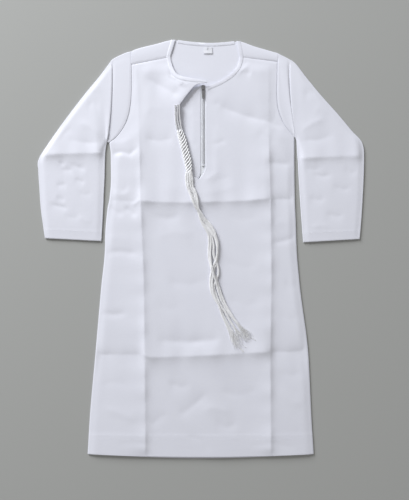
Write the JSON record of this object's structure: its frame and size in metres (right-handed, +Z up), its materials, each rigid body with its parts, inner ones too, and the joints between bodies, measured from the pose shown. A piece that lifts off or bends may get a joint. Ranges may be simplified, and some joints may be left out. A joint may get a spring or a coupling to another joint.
{
  "type": "thobe robe",
  "caption": "Child's white thobe laid out flat, with long sleeves, a half-length front zip under a fly cover and a braided tassel.",
  "frame": {"origin": "on the surface that the robe lies on, below the middle of its outline", "axes": "+X towards the wearer's left sleeve as laid out, +Y from hem to neck, +Z up from the surface"},
  "size_m": [0.6026, 0.7734, 0.0108],
  "materials": {
    "white_cloth": "smooth white cloth with a soft satin sheen",
    "label_tape": "white woven label tape",
    "tassel_silk": "silky white thread",
    "zip_tape": "woven light grey tape",
    "zip_teeth": "light grey plastic coil",
    "zip_metal": "grey cast metal"
  },
  "bodies": {
    "garment": {"back_panel": "white_cloth", "front_panel": "white_cloth", "sleeve_left": "white_cloth", "sleeve_right": "white_cloth", "placket": "white_cloth", "binding_back": "white_cloth", "binding_left": "white_cloth", "binding_right": "white_cloth", "size_label": "label_tape", "tassel": "tassel_silk", "zip_tape": "zip_tape", "zip_chain": "zip_teeth", "zip_stop": "zip_metal", "zip_slider": "zip_metal"},
    "pull_tab": {"zip_pull": "zip_metal"}
  },
  "joints": [
    {"name": "pull_swing", "type": "hinge", "parent": "garment", "child": "pull_tab", "pos_m": [0.0036, 0.2946, 0.00495], "axis": [-1, 0, 0], "range_deg": [0, 100]}
  ]
}
